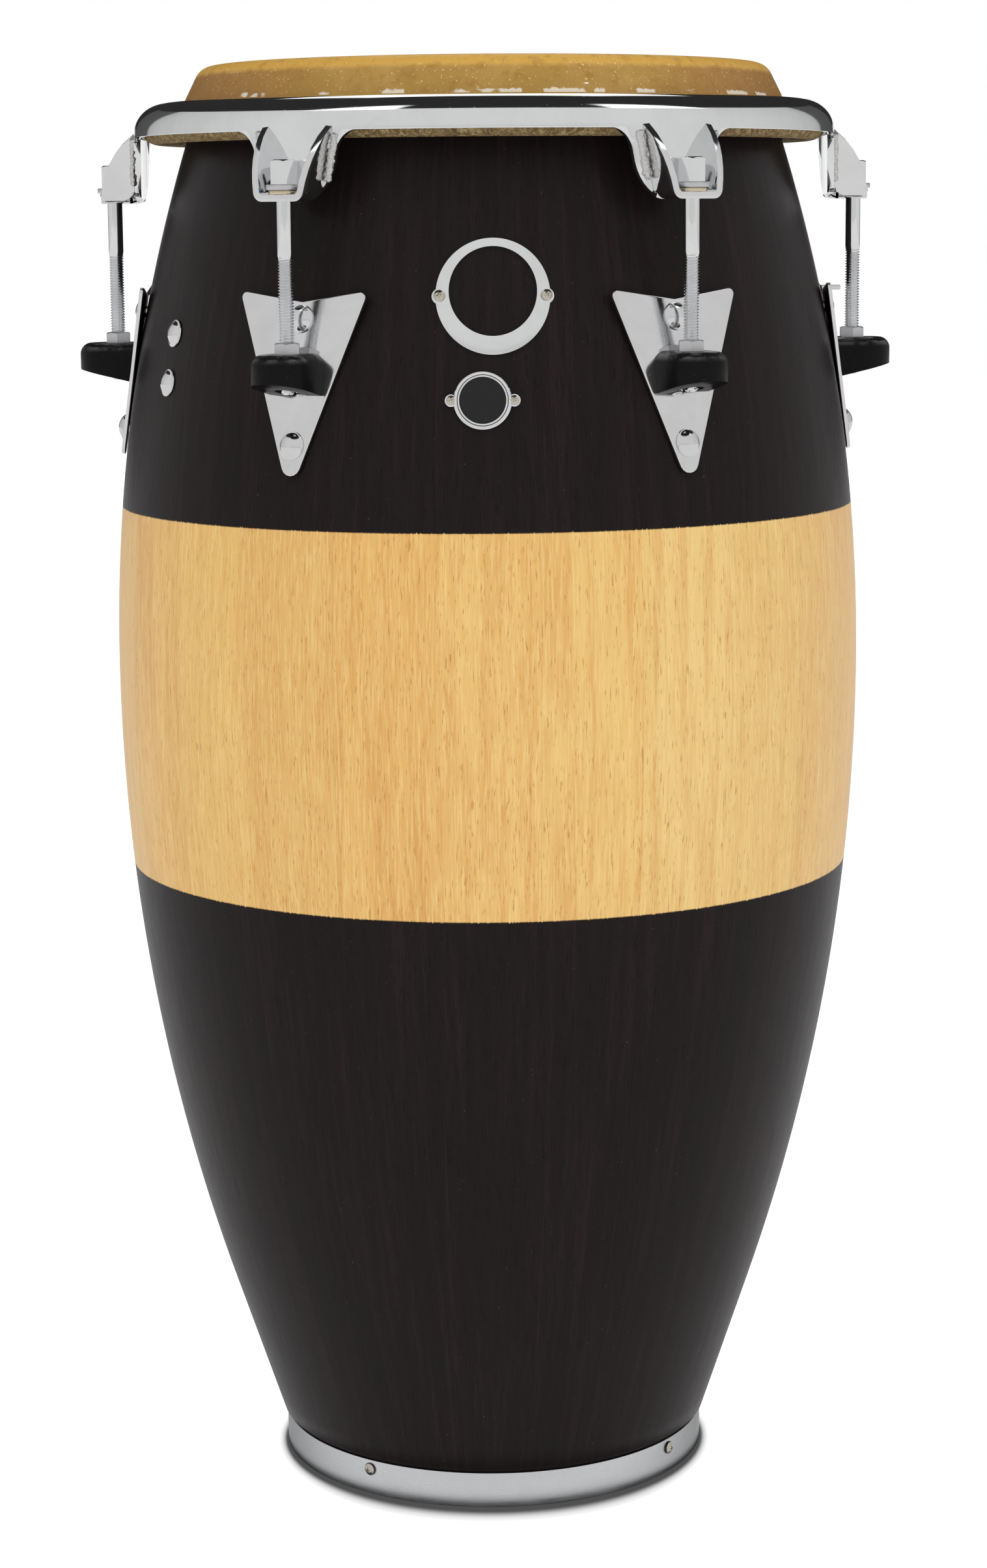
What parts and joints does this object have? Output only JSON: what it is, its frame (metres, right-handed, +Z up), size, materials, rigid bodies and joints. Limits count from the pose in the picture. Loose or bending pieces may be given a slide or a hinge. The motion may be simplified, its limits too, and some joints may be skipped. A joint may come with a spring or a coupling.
{
  "type": "conga drum",
  "caption": "Stave-built conga drum with a two-tone barrel shell, a hide head, a round chrome rim and bolt-and-plate tuning lugs.",
  "frame": {"origin": "centre of the foot, on the floor plane", "axes": "+Z up the drum's axis towards the head, -Y towards the front with the badge, +X to the right seen from the front"},
  "size_m": [0.437, 0.4018, 0.762],
  "materials": {
    "shell_wood": "satin lacquer, dark stain above and below a clear band",
    "band_steel": "satin",
    "boot_black": "moulded, slightly glossy",
    "brass": "bright nickel-brass",
    "hide": "rawhide, mottled, satin",
    "badge_black": "gloss black field in a white border",
    "zinc_steel": "zinc plated",
    "chrome": "mirror"
  },
  "bodies": {
    "shell": {"shell_staves": "shell_wood", "base_band": "band_steel", "base_screws": "zinc_steel", "side_plate_1": "chrome", "side_plate_2": "chrome", "side_plate_3": "chrome", "side_plate_4": "chrome", "side_plate_5": "chrome", "side_plate_6": "chrome", "lug_block_1": "zinc_steel", "lug_block_2": "zinc_steel", "lug_block_3": "zinc_steel", "lug_block_4": "zinc_steel", "lug_block_5": "zinc_steel", "lug_block_6": "zinc_steel", "lug_boot_1": "boot_black", "lug_boot_2": "boot_black", "lug_boot_3": "boot_black", "lug_boot_4": "boot_black", "lug_boot_5": "boot_black", "lug_boot_6": "boot_black", "captive_nuts": "chrome", "carriage_bolts": "chrome", "spare_studs": "chrome", "inner_washers": "zinc_steel", "inner_nuts": "zinc_steel", "emblem_plate": "chrome", "emblem_screws": "brass", "round_badge": "badge_black", "badge_screws": "brass"},
    "rim_set": {"rim": "chrome", "lug_strap_1": "chrome", "lug_strap_2": "chrome", "lug_strap_3": "chrome", "lug_strap_4": "chrome", "lug_strap_5": "chrome", "lug_strap_6": "chrome", "weld_beads": "chrome", "steel_washers": "chrome", "brass_washers": "brass", "drum_head": "hide", "flesh_hoop": "zinc_steel"},
    "bolt_1": {"tuning_bolt_1": "chrome"},
    "bolt_2": {"tuning_bolt_2": "chrome"},
    "bolt_3": {"tuning_bolt_3": "chrome"},
    "bolt_4": {"tuning_bolt_4": "chrome"},
    "bolt_5": {"tuning_bolt_5": "chrome"},
    "bolt_6": {"tuning_bolt_6": "chrome"}
  },
  "joints": [
    {"name": "rim_travel", "type": "slide", "parent": "shell", "child": "rim_set", "axis": [0, 0, 1], "range_m": [0, 0.018]},
    {"name": "bolt_1_turn", "type": "hinge", "parent": "rim_set", "child": "bolt_1", "pos_m": [0.19801, 0.00207, 0.65], "axis": [0, 0, 1], "range_deg": [0, 4592.14]},
    {"name": "bolt_2_turn", "type": "hinge", "parent": "rim_set", "child": "bolt_2", "pos_m": [0.09721, 0.17252, 0.65], "axis": [0, 0, 1], "range_deg": [0, 4592.14]},
    {"name": "bolt_3_turn", "type": "hinge", "parent": "rim_set", "child": "bolt_3", "pos_m": [-0.1008, 0.17044, 0.65], "axis": [0, 0, 1], "range_deg": [0, 4592.14]},
    {"name": "bolt_4_turn", "type": "hinge", "parent": "rim_set", "child": "bolt_4", "pos_m": [-0.19801, -0.00207, 0.65], "axis": [0, 0, 1], "range_deg": [0, 4592.14]},
    {"name": "bolt_5_turn", "type": "hinge", "parent": "rim_set", "child": "bolt_5", "pos_m": [-0.09721, -0.17252, 0.65], "axis": [0, 0, 1], "range_deg": [0, 4592.14]},
    {"name": "bolt_6_turn", "type": "hinge", "parent": "rim_set", "child": "bolt_6", "pos_m": [0.1008, -0.17044, 0.65], "axis": [0, 0, 1], "range_deg": [0, 4592.14]}
  ],
  "couplings": [
    {"joint": "bolt_1_turn", "follows": "rim_travel", "rad_per_m": 4452.7},
    {"joint": "bolt_2_turn", "follows": "rim_travel", "rad_per_m": 4452.7},
    {"joint": "bolt_3_turn", "follows": "rim_travel", "rad_per_m": 4452.7},
    {"joint": "bolt_4_turn", "follows": "rim_travel", "rad_per_m": 4452.7},
    {"joint": "bolt_5_turn", "follows": "rim_travel", "rad_per_m": 4452.7},
    {"joint": "bolt_6_turn", "follows": "rim_travel", "rad_per_m": 4452.7}
  ]
}
